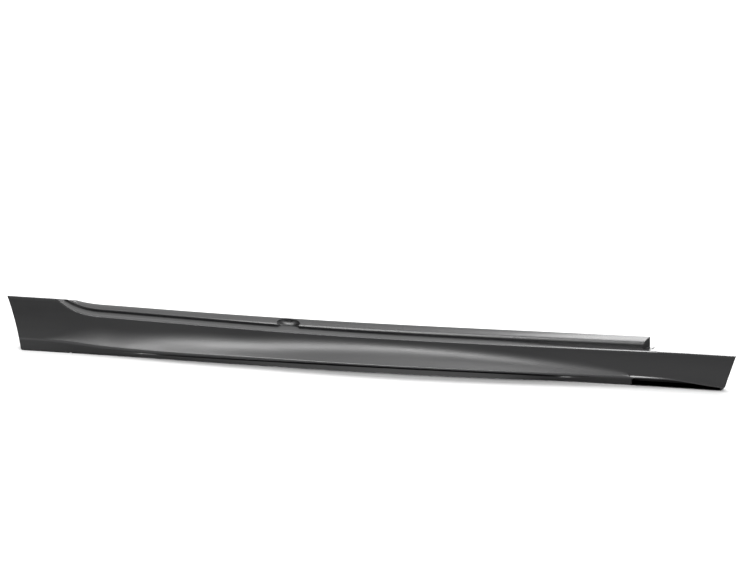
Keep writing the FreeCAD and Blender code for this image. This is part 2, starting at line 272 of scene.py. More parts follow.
class Laws:
    """Where the skirt's surfaces lie, as functions of the place along the car."""

    def side(self, x: Array) -> Array:
        return S.face_out + S.bow * hump(x, *AT.bow)

    def lean(self, x: Array) -> Array:
        return S.lean * (1.0 - ease(x, S.kick, S.front))

    def crease_z(self, x: Array) -> Array:
        lift = S.crease_lift * hump(x, *AT.crease_lift)
        lift = lift + S.crease_rear_lift * (1.0 - ease(x, *AT.crease_rear_fade))
        gone = ease(x, *AT.crease_fall)
        return S.crease + lift - (S.crease + lift - S.front_crease) * gone

    def side_at(self, x: Array, z: Array) -> Array:
        """How far out the leaning side face stands at a height."""
        return self.side(x) + self.lean(x) * (1.0 - z / S.top)

    def crease(self, x: Array, inset: float) -> Spot:
        z = self.crease_z(x)
        flare = S.flare * hump(x, *AT.flare)
        rear = ease(x, *AT.rear_growth) * (1.0 - ease(x, *AT.rear_flare_fade))
        return self.side_at(x, z) + flare + S.rear_flare * rear - inset, z

    def bend_z(self, x: Array) -> Array:
        middle = S.bend_lift * hump(x, *AT.bend_lift, sharpness=0.5)
        rear = S.rear_bend_lift * ease(x, *AT.rear_growth)
        rear = rear * (1.0 - ease(x, *AT.rear_bend_fade))
        lift = (middle**BLEND + rear**BLEND) ** (1.0 / BLEND)
        return self.crease_z(x) + S.bend_gap + lift

    def bend(self, x: Array, inset: float) -> Spot:
        z = self.bend_z(x)
        return self.side_at(x, z) - inset, z

    def foot(self, x: Array, inset: float) -> Spot:
        out = S.strip_out - S.strip_sweep * ease(x, *AT.strip_sweep)
        out = out - S.rear_tuck * (1.0 - ease(x, *AT.rear_tuck_fade))
        return out - inset * FOOT_INSET, np.full_like(x, inset)

    def above(self, x: Array, inset: float) -> Spot:
        """Upper end of the bend's curve."""
        z = self.bend_z(x)
        z = z + np.minimum(S.bend_radius, BEND_SHARE * (z - self.crease_z(x)))
        return self.side_at(x, z) - inset, z

    def below(self, x: Array, inset: float) -> Spot:
        """Lower end of the bend's curve."""
        bend, crease = self.bend(x, inset), self.crease(x, inset)
        reach = np.minimum(S.bend_reach, BEND_SHARE * (bend[1] - crease[1]))
        return mix(bend, crease, reach / apart(bend, crease))

    def crease_ends(self, x: Array, inset: float) -> tuple[Spot, Spot]:
        """Ends of the crease's small curve, above and below it."""
        of_height, of_flare, of_strip = CREASE_SHARES
        crease = self.crease(x, inset)
        radius = np.minimum(S.crease_radius, of_height * crease[1])
        below, foot = self.below(x, inset), self.foot(x, inset)
        up = np.minimum(radius / apart(crease, below), of_flare)
        down = np.minimum(radius / apart(crease, foot), of_strip)
        return mix(crease, below, up), mix(crease, foot, down)

    @staticmethod
    def foot_share(foot: Spot, down: Spot) -> Array:
        """Share of the strip that the foot's small curve takes."""
        return np.minimum(S.foot_radius / apart(foot, down), FOOT_SHARE)

    @staticmethod
    def kick_up(x: Array, start: float, steepness: float, length: float, rise: float) -> Array:
        """Height of a curve that falls from rise at start to nothing a length on."""
        share = curve_share(x - start, steepness, length)
        curved = rise * (1.0 - share) ** 2
        return np.where(x <= start, rise + (start - x) * rise / steepness, curved)

    def ledge_z(self, x: Array) -> Array:
        fall = S.ledge_fall * (1.0 - ease(x, *AT.ledge_fall))
        rise = S.top - S.ledge - S.ledge_fall
        curved = self.kick_up(x, S.kick, S.kick_steepness, S.kick_length, rise)
        return S.ledge + fall + curved

    def rail_top(self, x: Array) -> Array:
        start = S.kick + S.rail_kick_setback
        lift = S.rail_lift * ease(x, *AT.rail_lift)
        level = S.top - S.rear_rise + lift
        return level + self.kick_up(
            x, start, S.rail_kick_steepness, S.rail_kick_length, S.rear_rise
        )

    def rise(self, x: Array) -> Array:
        level = S.rise_rear + (S.rise_front - S.rise_rear) * ease(x, S.kick, S.rail_end)
        return level + (S.rise_end - level) * ease(x, *AT.rise_fade)

    def ledge_surface(self, x: Array, out: Array) -> Array:
        """Height of the ledge at a distance outwards."""
        return self.ledge_z(x) + self.rise(x) * (self.side(x) - out) / S.ledge_depth

    def lip_size(self, x: Array) -> Array:
        """Share of the full round lip, which fades out at both ends of the ledge."""
        grown = ease(x, S.kick, S.kick + S.lip_reach)
        gone = ease(x, S.rail_end, S.rail_end + S.taper)
        return S.small_lip + (1.0 - S.small_lip) * grown * (1.0 - gone)

    def step_corners(self, x: Array, inset: float) -> list[Spot]:
        """Corners of the full step under the crease, from the foot to the slot's roof."""
        foot, down = self.foot(x, 0.0), self.crease_ends(x, 0.0)[1]
        span, high = down[0] - foot[0], down[1]
        return [
            (foot[0] + span * out - inset * back, high * up + inset * lift)
            for out, up, back, lift in STEP_CORNERS
        ]

    def step_under(self, x: Array) -> Array:
        """Share of the full step under the crease, which grows with the crease's overhang."""
        overhang = self.crease(x, 0.0)[0] - self.foot(x, 0.0)[0]
        return ease(overhang, *STEP_OVERHANG) * (1.0 - ease(x, *AT.step_fade))

    def groove(self, x: Array) -> Array:
        return S.groove * (GROOVE_START + (1.0 - GROOVE_START) * ease(x, *AT.groove))

    def rail_face(self, x: Array) -> Array:
        return self.side(x) - S.ledge_depth + S.groove

    def web_back(self, x: Array) -> Array:
        return self.rail_face(x) - S.rail_depth

    def taper(self, x: Array) -> Array:
        """Inner edge of the ledge ahead of the rail, which curves into the front panel."""
        length = S.taper - S.taper_start
        ahead = np.clip(x - S.rail_end - S.taper_start, 0.0, length)
        share = curve_share(ahead, S.taper_pull, length)
        near = self.side(x) - S.wall
        start = self.web_back(np.full_like(x, S.rail_end))
        return near + (start - near) * (1.0 - share) ** 2

    def top_plane(self, out: Array) -> Array:
        """Height of the rear top, which falls away behind the panel's edge."""
        return S.top - S.top_fall * np.maximum(S.face_out - S.wall - out, 0.0)


# Corners of the step as shares of the crease's overhang and height, and the way the wall
# behind each of them lies; then the share of the strip's columns at which each one comes
STEP_CORNERS = (
    (0.58, 0.22, 1.2, 0.5),
    (0.52, 0.62, 1.1, -1.0),
    (0.22, 0.65, 1.0, -1.0),
    (0.22, 0.90, 1.0, 0.9),
)
STEP_SHARES = (0.0, 0.2, 0.6, 0.75, 0.9, 1.0)

LAWS = Laws()
Segment = Callable[[Array, float], Spot]


class Part(Enum):
    """The parts of the section ring that are trimmed in different ways."""

    FLANGE = 1
    SIDE = 2
    LEDGE = 3
    RAIL = 4
    WEB = 5
    RAIL_INSIDE = 6
    SIDE_INSIDE = 7


UPPER = (Part.RAIL, Part.WEB, Part.RAIL_INSIDE, Part.LEDGE)


@dataclass(frozen=True)
class Stretch:
    """A stretch of the section ring, with its number of columns and how much of the lighter edge
    colour it gets, which stands for rubbed edges and a painted highlight.
    """

    part: Part
    law: Segment
    count: int
    # How much lighter edge colour the stretch gets: rubbed edges, and a painted highlight that is
    # strongest on the crease.
    edge: float = 0.0
    closed: bool = False

    @property
    def shares(self) -> list[float]:
        """Evenly spaced shares from nothing on, which reach one in a closed stretch."""
        steps = self.count - 1 if self.closed else self.count
        return [i / steps for i in range(self.count)]


class Ring:
    """The closed section of the skirt's wall, outside and inside."""

    def __init__(self) -> None:
        w = S.wall
        # Last number of a row: its share of the lighter edge colour, which is rubbing and a
        # painted highlight, full on the crease.
        outer = [
            (Part.FLANGE, self.floor, 5),
            (Part.FLANGE, self.foot_round, 4, 0.7),
            (Part.SIDE, self.strip(0.0), 20),
            (Part.SIDE, self.crease(0.0), 8, 1.0),
            (Part.SIDE, self.flare(0.0), 11),
            (Part.SIDE, self.bend(0.0), 14),
            (Part.SIDE, self.wall_up, 12),
            (Part.SIDE, self.lip_round, 10, 0.6),
            (Part.LEDGE, self.ledge, 9),
            (Part.RAIL, self.groove_wall, 3),
            (Part.RAIL, self.groove_roof, 2),
            (Part.RAIL, self.rail_round, 4, 0.8),
            (Part.RAIL, self.rail_skin, 14, 0.3),
            (Part.WEB, self.web_outside, 4),
        ]
        inner = [
            (Part.WEB, self.web_foot, 2),
            (Part.RAIL_INSIDE, self.web_inside, 2),
            (Part.RAIL_INSIDE, self.rail_inside, 6),
            (Part.RAIL_INSIDE, self.groove_inside, 2),
            (Part.RAIL_INSIDE, self.ledge_under, 4),
            (Part.SIDE_INSIDE, self.wall_down, 5),
            (Part.SIDE_INSIDE, self.backwards(self.bend(w)), 6),
            (Part.SIDE_INSIDE, self.backwards(self.flare(w)), 4),
            (Part.SIDE_INSIDE, self.backwards(self.crease(w)), 4),
            (Part.SIDE_INSIDE, self.backwards(self.strip(w)), 20),
        ]
        last = Stretch(Part.FLANGE, self.flange_top, 3, closed=True)
        self.stretches = [Stretch(*row) for row in outer + inner] + [last]

    @staticmethod
    def backwards(law: Segment) -> Segment:
        return lambda x, t: law(x, 1.0 - t)

    @staticmethod
    def floor(x: Array, t: float) -> Spot:
        foot = LAWS.foot(x, 0.0)
        back = np.full_like(x, S.back_out)
        return mix((back, foot[1]), (foot[0] - S.foot_radius, foot[1]), t)

    @staticmethod
    def foot_round(x: Array, t: float) -> Spot:
        foot = LAWS.foot(x, 0.0)
        down = LAWS.crease_ends(x, 0.0)[1]
        up = mix(foot, down, LAWS.foot_share(foot, down))
        return bezier((foot[0] - S.foot_radius, foot[1]), foot, up, t)

    @staticmethod
    def strip(inset: float) -> Segment:
        def law(x: Array, t: float) -> Spot:
            foot, down = LAWS.foot(x, inset), LAWS.crease_ends(x, inset)[1]
            start = LAWS.foot_share(foot, down) if not inset else 0.0
            straight = mix(foot, down, start + (1.0 - start) * t)
            corners = [mix(foot, down, start), *LAWS.step_corners(x, inset), down]
            number = min(bisect_right(STEP_SHARES, t) - 1, len(corners) - 2)
            begin, end = STEP_SHARES[number], STEP_SHARES[number + 1]
            stepped = mix(corners[number], corners[number + 1], (t - begin) / (end - begin))
            return mix(straight, stepped, LAWS.step_under(x))

        return law

    @staticmethod
    def crease(inset: float) -> Segment:
        def law(x: Array, t: float) -> Spot:
            up, down = LAWS.crease_ends(x, inset)
            return bezier(down, LAWS.crease(x, inset), up, t)

        return law

    @staticmethod
    def flare(inset: float) -> Segment:
        return lambda x, t: mix(LAWS.crease_ends(x, inset)[0], LAWS.below(x, inset), t)

    @staticmethod
    def bend(inset: float) -> Segment:
        return lambda x, t: bezier(
            LAWS.below(x, inset), LAWS.bend(x, inset), LAWS.above(x, inset), t
        )

    @staticmethod
    def lip(x: Array) -> Spot:
        z = np.minimum(LAWS.ledge_z(x), S.top)
        return LAWS.side_at(x, z), z

    def wall_up(self, x: Array, t: float) -> Spot:
        under = self.lip(x)[1] - S.lip_drop * LAWS.lip_size(x)
        return mix(LAWS.above(x, 0.0), (LAWS.side_at(x, under), under), t)

    def lip_round(self, x: Array, t: float) -> Spot:
        lip = self.lip(x)
        under = lip[1] - S.lip_drop * LAWS.lip_size(x)
        behind = LAWS.side(x) - S.lip_depth * LAWS.lip_size(x)
        last = (behind, np.minimum(LAWS.ledge_surface(x, behind), S.top))
        return bezier((LAWS.side_at(x, under), under), lip, last, t)

    def ledge(self, x: Array, t: float) -> Spot:
        first = LAWS.side(x) - S.lip_depth * LAWS.lip_size(x)
        out = first + (LAWS.rail_face(x) - LAWS.groove(x) - first) * t
        return out, LAWS.ledge_surface(x, out)

    @staticmethod
    def groove_wall(x: Array, t: float) -> Spot:
        out = LAWS.rail_face(x) - LAWS.groove(x)
        low = LAWS.ledge_surface(x, out)
        return out, low + (LAWS.ledge_z(x) + S.rail_foot_rise - low) * t

    @staticmethod
    def groove_roof(x: Array, t: float) -> Spot:
        face = LAWS.rail_face(x)
        first = face - LAWS.groove(x)
        last = np.maximum(face - S.rail_corner, first)
        return first + (last - first) * t, LAWS.ledge_z(x) + S.rail_foot_rise

    @staticmethod
    def rail_round(x: Array, t: float) -> Spot:
        face, z = LAWS.rail_face(x), LAWS.ledge_z(x) + S.rail_foot_rise
        first = np.maximum(face - S.rail_corner, face - LAWS.groove(x))
        return bezier((first, z), (face, z), (face, z + S.rail_corner), t)

    @staticmethod
    def rail_share(depth: float) -> float:
        """Share of the rail's curve at which it has gone in by a depth."""
        bend = S.rail_depth + S.rail_overrun - 2.0 * S.rail_draft
        return (math.sqrt(S.rail_draft**2 + bend * depth) - S.rail_draft) / bend

    @staticmethod
    def rail_curve(x: Array, t: Array | float, inset: float) -> Spot:
        """A point of the rail's skin, whose curve runs on past the web."""
        face = LAWS.rail_face(x) - inset
        foot = LAWS.ledge_z(x) + S.rail_foot_rise + inset
        top = np.maximum(LAWS.rail_top(x) - inset, foot + S.rail_least)
        pull = (face - S.rail_draft, foot + S.rail_fullness * (top - foot))
        last = (face - S.rail_depth - S.rail_overrun, top + S.rail_crown)
        return bezier((face, foot), pull, last, t)

    def rail_skin(self, x: Array, t: float) -> Spot:
        start = S.rail_corner / (2.0 * S.rail_fullness * S.rail_height)
        return self.rail_curve(x, start + (self.rail_share(S.rail_depth) - start) * t, 0.0)

    def web_outside(self, x: Array, t: float) -> Spot:
        high = self.rail_curve(x, self.rail_share(S.rail_depth), 0.0)[1]
        low = np.full_like(x, S.ledge - S.web_drop)
        return LAWS.web_back(x), high + (low - high) * t

    @staticmethod
    def web_foot(x: Array, t: float) -> Spot:
        return LAWS.web_back(x) + S.wall * t, np.full_like(x, S.ledge - S.web_drop)

    def web_inside(self, x: Array, t: float) -> Spot:
        high = self.rail_curve(x, self.rail_share(S.rail_depth - 2 * S.wall), S.wall)[1]
        low = S.ledge - S.web_drop
        return LAWS.web_back(x) + S.wall, low + (high - low) * t

    def rail_inside(self, x: Array, t: float) -> Spot:
        start = self.rail_share(S.rail_depth - 2 * S.wall)
        return self.rail_curve(x, start * (1.0 - t), S.wall)

    @staticmethod
    def groove_inside(x: Array, t: float) -> Spot:
        out = LAWS.rail_face(x) - LAWS.groove(x) - S.wall
        high = LAWS.ledge_z(x) + S.rail_foot_rise + S.wall
        low = LAWS.ledge_surface(x, out) - S.wall
        return out, high + (low - high) * t

    @staticmethod
    def ledge_under(x: Array, t: float) -> Spot:
        first = LAWS.rail_face(x) - LAWS.groove(x) - S.wall
        out = first + (LAWS.side(x) - S.wall - first) * t
        return out, LAWS.ledge_surface(x, out) - S.wall

    def wall_down(self, x: Array, t: float) -> Spot:
        z = np.minimum(LAWS.ledge_z(x), S.top) - S.wall
        return mix((LAWS.side_at(x, z) - S.wall, z), LAWS.above(x, S.wall), t)

    @staticmethod
    def flange_top(x: Array, t: float) -> Spot:
        foot = LAWS.foot(x, S.wall)
        return mix(foot, (np.full_like(x, S.back_out), foot[1]), t)


# The wheel-arch edges as distances from the skirt's ends: three points of the rear one, and
# each foot's curve at its top, at its pull and on the floor, with the height it reaches
REAR_EDGE = ((S.top, 0.0), (S.top / 2, 23.0), (8.0, 37.0))
REAR_FOOT = (37.0, 38.0, 45.0)
REAR_FOOT_TOP = 8.0
FRONT_FOOT = (43.0, 27.0, 25.0)
FRONT_FOOT_TOP = 30.0
FRONT_FOOT_PULL = 13.5


def rear_end(z: Array) -> Array:
    """Distance of the rear wheel-arch edge from the rear end at a height."""
    high = np.maximum(z, REAR_FOOT_TOP)
    line = sum(
        at * np.prod([(high - o) / (t - o) for o, _ in REAR_EDGE if o != t], axis=0)
        for t, at in REAR_EDGE
    )
    t = 1.0 - np.sqrt(np.clip(z / REAR_FOOT_TOP, 0.0, 1.0))
    return np.where(z < REAR_FOOT_TOP, curve(*REAR_FOOT, t), line)


def front_end(z: Array) -> Array:
    """Distance of the front wheel-arch edge from the front end at a height."""
    line = FRONT_FOOT[2] * (S.ledge - z) / (S.ledge - FRONT_FOOT_TOP)
    low = np.clip(z, 0.0, FRONT_FOOT_TOP)
    t = curve_share(low, FRONT_FOOT_PULL, FRONT_FOOT_TOP)
    return np.where(z < FRONT_FOOT_TOP, curve(*FRONT_FOOT, t), np.maximum(line, 0.0))


def stations() -> Array:
    """Places of the section rings, close together where the form changes fast.

    Returns:
        The places along X, with two rings a hair apart at each sharp step.
    """
    hair, slit = 0.05, 0.06
    spans = [
        (S.rear, S.kick, 22),
        (S.kick, S.kick + 30.0, 22),
        (S.kick + 30.0, S.kick + 125.0, 42),
        (S.kick + 125.0, S.rail_end - 62.0, 210),
        (S.rail_end - 62.0, S.rail_end - slit, 26),
        (S.rail_end + slit, S.rail_end + 50.0, 36),
        (S.rail_end + 50.0, S.front, 50),
    ]
    places = np.concatenate([np.linspace(*span) for span in spans])
    gap = S.rear + S.flange_start
    extra = [at + step for at in (gap, gap + S.notch_length, S.kick) for step in (-hair, hair)]
    return np.unique(np.round(np.concatenate([places, extra]), 3))


def trim(part: Part, place: Array, x: Array, out: Array, z: Array) -> Spot:
    """Cuts a column of the ring to the rear top, the rail's end and the flange's start."""
    inside = part in (Part.RAIL_INSIDE, Part.SIDE_INSIDE)
    wall = S.wall if inside else 0.0
    ahead = place > S.rail_end
    gap = S.rear + S.flange_start
    if part in UPPER:
        out = np.where(ahead, np.maximum(out, LAWS.taper(x)), out)
        surface = LAWS.ledge_surface(x, out)
        under = surface - S.wall
        top = LAWS.top_plane(out)
        if part in (Part.RAIL, Part.LEDGE):
            z = np.where(ahead, np.minimum(z, surface), z)
            z = np.minimum(z, top)
        elif part is Part.RAIL_INSIDE:
            z = np.where(ahead, under, z)
            z = np.minimum(z, top - S.wall)
            z = np.where(place < S.kick, top - S.wall, z)
        else:
            low = np.where(ahead, under, np.where(place < S.kick, top - S.wall, z))
            high = np.where(ahead, surface, top)
            z = np.clip(np.maximum(z, low), None, high)
    else:
        z = np.minimum(z, S.top - wall)
    if part is Part.FLANGE:
        out = np.where(place < gap, np.maximum(out, LAWS.foot(x, 0.0)[0] - S.rear_flange), out)
    in_notch = (place > gap) & (place < gap + S.notch_length)
    if part in (Part.FLANGE, Part.SIDE):
        near = out > LAWS.foot(x, 0.0)[0] - S.notch_depth
        z = np.where(in_notch & near, np.maximum(z, S.notch_height), z)
    return out, z


def shift(part: Part, place: Array, out: Array, z: Array, x: Array) -> Array:
    """Moves a column along the car, to the wheel-arch edges and the rail's slanted end."""
    back = 1.0 - ease(place, *AT.rear_edge)
    ahead = ease(place, *AT.front_edge)
    moved = place + back * rear_end(z) - ahead * front_end(z)
    if part in UPPER:
        near = np.where(
            place < S.rail_end,
            ease(place, *AT.slant_growth),
            1.0 - ease(place, *AT.slant_fade),
        )
        share = np.clip((out - LAWS.web_back(x)) / S.rail_depth, 0.0, 1.0)
        if part is Part.LEDGE:
            face = LAWS.rail_face(x)
            share = np.clip(1.0 - (out - face) / (LAWS.side(x) - face), 0.0, 1.0)
        moved = moved - near * share * S.rail_slant
    return moved


@dataclass
class Skin:
    """Vertices and faces of a closed skin."""

    verts: Array
    faces: list[tuple[int, ...]]
    # Share of the lighter edge colour at each corner, for rubbing and painted highlight.
    edge: Array = field(default_factory=lambda: np.zeros(0))


def sweep_skirt() -> Skin:
    """The wall of the whole skirt as one closed skin.

    Returns:
        The skin with its shares of lighter edge colour, for rubbing and painted highlight.
    """
    places = stations()
    columns, weights = [], []
    for stretch in Ring().stretches:
        for t in stretch.shares:
            x = places.copy()
            for _ in range(4):
                out, z = stretch.law(x, t)
                out, z = trim(stretch.part, places, x, out, z)
                x = shift(stretch.part, places, out, z, x)
            columns.append(np.stack([x, -out, z], axis=1))
            weights.append(stretch.edge)
    grid = np.stack(columns, axis=1) * MM
    rows, cols = grid.shape[:2]
    faces = [(quad[0], *quad[:0:-1]) for quad in tube_faces(rows, cols)]
    for row, flip in ((0, False), (rows - 1, True)):
        loop = [Vector((-p[1], p[2], 0.0)) for p in grid[row].tolist()]
        for tri in tessellate_polygon([loop]):
            ids = tuple(row * cols + i for i in tri)
            faces.append(ids[::-1] if flip else ids)
    edge = np.tile(np.array(weights), rows)
    return Skin(grid.reshape(-1, 3), faces, edge)


def make_object(name: str, skin: Skin) -> Thing:
    """Makes a mesh object from a skin, with its faces turned outwards.

    Args:
        name: Name of the piece.
        skin: The skin in metres.

    Returns:
        The new object, linked to the scene.
    """
    mesh = bpy.data.meshes.new(name)
    mesh.from_pydata(skin.verts.tolist(), [], skin.faces)
    mesh.validate()
    thing = bpy.data.objects.new(name, mesh)
    bpy.context.scene.collection.objects.link(thing)
    # The lighter edge colour stands for rubbed edges and a painted highlight, strongest on the
    # crease.
    if len(skin.edge):
        layer = mesh.attributes.new("rubbed_and_highlit_edges", "FLOAT", "POINT")
        layer.data.foreach_set("value", skin.edge.astype(np.float32))
    pick(thing)
    bpy.ops.object.mode_set(mode="EDIT")
    bpy.ops.mesh.select_all(action="SELECT")
    bpy.ops.mesh.remove_doubles(threshold=MERGE)
    bpy.ops.mesh.normals_make_consistent(inside=False)
    bpy.ops.object.mode_set(mode="OBJECT")
    log.info("made %s: %d vertices", name, len(mesh.vertices))
    return thing


def pick(thing: Thing) -> None:
    """Makes one object the only selected and the active one."""
    bpy.ops.object.select_all(action="DESELECT")
    thing.select_set(True)
    bpy.context.view_layer.objects.active = thing


def tube_faces(rows: int, count: int, closed: bool = False) -> list[tuple[int, ...]]:
    """Faces of a tube.

    Args:
        rows: Number of its rings.
        count: Number of corners in a ring.
        closed: Whether its two ends are closed too.

    Returns:
        The faces, ring by ring.
    """
    faces = []
    for row in range(rows - 1):
        for i in range(count):
            a, b = row * count + i, row * count + (i + 1) % count
            faces.append((a, b, b + count, a + count))
    last = (rows - 1) * count
    ends = [tuple(range(count)), tuple(range(last, last + count))]
    return faces + ends if closed else faces


def prism(corners: Sequence[tuple[float, float]], low: float, high: float, axis: str) -> Skin:
    """A prism over a polygon.

    Args:
        corners: Polygon of (out, z) for axis "x", or (x, z) for axis "y".
        low: Start along the axis, as x or as a distance outwards.
        high: End along the axis.
        axis: "x" along the car or "y" across it.

    Returns:
        The prism's skin.
    """
    count = len(corners)
    rows = []
    for at in (low, high):
        for a, b in corners:
            rows.append((at, -a, b) if axis == "x" else (a, -at, b))
    faces = tube_faces(2, count)
    loop = [Vector((a, b, 0.0)) for a, b in corners]
    for tri in tessellate_polygon([loop]):
        faces.append(tuple(tri))
        faces.append(tuple(i + count for i in tri[::-1]))
    return Skin(np.array(rows) * MM, faces)


def boolean(thing: Thing, cutter: Thing, how: str) -> None:
    """Cuts, joins or intersects a piece with a helper and removes the helper."""
    pick(thing)
    step = thing.modifiers.new(how.lower(), "BOOLEAN")
    step.operation = how
    step.solver = "EXACT"
    step.object = cutter
    bpy.ops.object.modifier_apply(modifier=step.name)
    bpy.data.objects.remove(cutter)


def between(name: str, low: float, high: float, outline: Callable[[Array], list]) -> Thing:
    """A block whose section follows the skirt from one place along the car to another.

    Args:
        name: Name of the block.
        low: Its rear end along X.
        high: Its front end along X.
        outline: Gives the section's corners as (out, z) at a place.

    Returns:
        The block.
    """
    ends = [outline(np.array([x])) for x in (low, high)]
    count = len(ends[0])
    rows = [(x, -out, z) for x, end in zip((low, high), ends) for out, z in end]
    faces = tube_faces(2, count)
    for start, end in zip((0, count), ends):
        for tri in tessellate_polygon([[Vector((out, z, 0.0)) for out, z in end]]):
            faces.append(tuple(start + i for i in tri))
    return make_object(name, Skin(np.array(rows) * MM, faces))


@dataclass(frozen=True)
class Scoop:
    """The hollow in the rail: its place, its half sizes and the height of its middle."""

    x: float = S.kick + 636.0
    half: tuple[float, float, float] = (36.0, 13.4, 27.0)
    ahead: float = 2.0
    lift: float = 22.0
    reach: float = 48.0
    floor_step: float = 0.3
    skin: float = 0.6
    margin: float = 12.0
    high: float = 230.0

    def egg(self, name: str, grow: float) -> Thing:
        """The egg that gives the hollow its form, grown by a wall."""
        at = np.array([self.x])
        out = float(LAWS.rail_face(at)[0]) + self.ahead
        z = float(LAWS.ledge_surface(at, LAWS.rail_face(at))[0]) + self.lift
        bpy.ops.object.select_all(action="DESELECT")
        bpy.ops.mesh.primitive_uv_sphere_add(segments=96, ring_count=64, radius=1.0)
        ball = bpy.context.object
        ball.name = name
        size = Vector(tuple(h + grow for h in self.half)) * MM
        place = Matrix.Translation(Vector((self.x, -out, z)) * MM)
        ball.data.transform(place @ Matrix.Diagonal(size.to_4d()))
        return ball

    def above_ledge(self, x: Array) -> list[tuple[float, float]]:
        """Section of the space above the ledge."""
        places = [LAWS.web_back(x) - self.margin, LAWS.side(x) + self.margin]
        low = [(float(o[0]), float(LAWS.ledge_surface(x, o)[0]) + self.floor_step) for o in places]
        return low + [(out, self.high) for out, _ in reversed(low)]

    def inside_rail(self, x: Array) -> list[tuple[float, float]]:
        """Section of the rail, just under its skin, and of the material below it."""
        face, groove = float(LAWS.rail_face(x)[0]), float(LAWS.groove(x)[0]) + self.skin
        foot = float(LAWS.ledge_z(x)[0]) + S.rail_foot_rise + self.skin
        low = float(LAWS.ledge_z(x)[0]) - S.wall
        back = float(LAWS.web_back(x)[0]) + self.skin
        corners = [(back, low), (face - groove, low), (face - groove, foot)]
        last, steps = Ring.rail_share(S.rail_depth - 2 * self.skin), 12
        for step in range(steps + 1):
            out, z = Ring.rail_curve(x, last * step / steps, self.skin)
            corners.append((float(out[0]), float(z[0])))
        return corners

    def cutter(self) -> Thing:
        """The space that the hollow takes out of the rail."""
        space = self.egg("scoop_cut", 0.0)
        limit = between("scoop_above", self.x - self.reach, self.x + self.reach, self.above_ledge)
        boolean(space, limit, "INTERSECT")
        return space

    def bowl(self) -> Thing:
        """The moulded wall round the hollow, with its floor level with the ledge."""
        wall = self.egg("scoop_bowl", S.wall)
        boolean(wall, self.cutter(), "DIFFERENCE")
        limit = between("scoop_rail", self.x - self.reach, self.x + self.reach, self.inside_rail)
        boolean(wall, limit, "INTERSECT")
        return wall


SCOOP = Scoop()


def recess_outline(grow: float) -> list[tuple[float, float]]:
    """Outline of the front recess as (x, z), with its round rear end.

    Args:
        grow: How far the outline is moved outwards.

    Returns:
        The outline's corners in order.
    """
    start = S.rail_end - S.recess_start - grow
    radius = S.recess_radius + grow
    low, steps = S.wall - grow, 8
    places = np.linspace(start + radius, S.front - S.recess_end, 30)
    roof = LAWS.crease_z(places) - S.recess_roof + grow
    high = float(roof[0])
    points = [(start, low), (start, high - radius)]
    for step in range(1, steps):
        turn = math.pi / 2 * step / steps
        ahead, down = radius * (1 - math.cos(turn)), radius * (1 - math.sin(turn))
        points.append((start + ahead, high - down))
    points += list(zip(places.tolist(), roof.tolist()))
    return points + [(float(places[-1]), low)]


def recess_pocket() -> Thing:
    """Walls of the deep recess under the front panel.

    Returns:
        The pocket, cut off just inside the outer skin.
    """
    back = S.strip_out - S.strip_sweep - S.recess_depth
    walls = prism(recess_outline(S.wall), back - S.wall, 60.0, "y")
    pocket = make_object("recess_pocket", walls)
    space = make_object("recess_space", prism(recess_outline(0.0), back, CLEAR, "y"))
    boolean(pocket, space, "DIFFERENCE")
    inner, under, over, inset, tuck = -60.0, -5.0, 80.0, 0.25, 0.8
    rows = []
    for x in np.linspace(S.rail_end - 80.0, S.front - 30.0, 60):
        at = np.array([x])
        line = [LAWS.foot(at, 0.0), LAWS.crease(at, 0.0), LAWS.above(at, 0.0)]
        foot, crease, above = [(float(o[0]) - inset, float(z[0])) for o, z in line]
        ring = [(inner, under), (foot[0], under), foot, (crease[0] - tuck, crease[1])]
        ring += [above, (above[0], over), (inner, over)]
        rows.append([(x, -o, z) for o, z in ring])
    verts = np.array(rows).reshape(-1, 3) * MM
    limit = Skin(verts, tube_faces(len(rows), len(rows[0]), closed=True))
    boolean(pocket, make_object("recess_limit", limit), "INTERSECT")
    return pocket


def side_profile(x: Array, z: Array) -> Array:
    """How far out the outer skin stands at a height, for heights above the floor."""
    columns = []
    for stretch in Ring().stretches[1:7]:
        columns += [stretch.law(x, t) for t in stretch.shares]
    outs = np.stack([c[0] for c in columns], axis=1)
    highs = np.stack([np.broadcast_to(c[1], x.shape) for c in columns], axis=1)
    return np.array([np.interp(at, high, out) for at, high, out in zip(z, highs, outs)])


def arch_flange(name: str, front: bool) -> Thing:
    """The wall that turns in along a wheel-arch edge.

    Args:
        name: Name of the piece.
        front: Whether it stands at the front end.

    Returns:
        The flange.
    """
    high = S.ledge if front else S.top
    z = np.concatenate([np.linspace(0.05, 12.0, 16), np.linspace(13.0, high - 0.1, 50)])
    edge = S.front - front_end(z) if front else S.rear + rear_end(z)
    inner = edge - S.wall if front else edge + S.wall
    face = side_profile(edge, z) - SKIN_GAP
    back = LAWS.side(edge) - S.arch_depth
    fall = S.top_fall * np.maximum(S.face_out - S.wall - back, 0.0)
    low = np.minimum(z, high - fall)
    corners = ((edge, face, z), (inner, face, z), (inner, back, low), (edge, back, low))
    grid = np.stack([np.stack([x, -out, up], axis=1) for x, out, up in corners], axis=1)
    faces = tube_faces(len(z), len(corners), closed=True)
    return make_object(name, Skin(grid.reshape(-1, 3) * MM, faces))


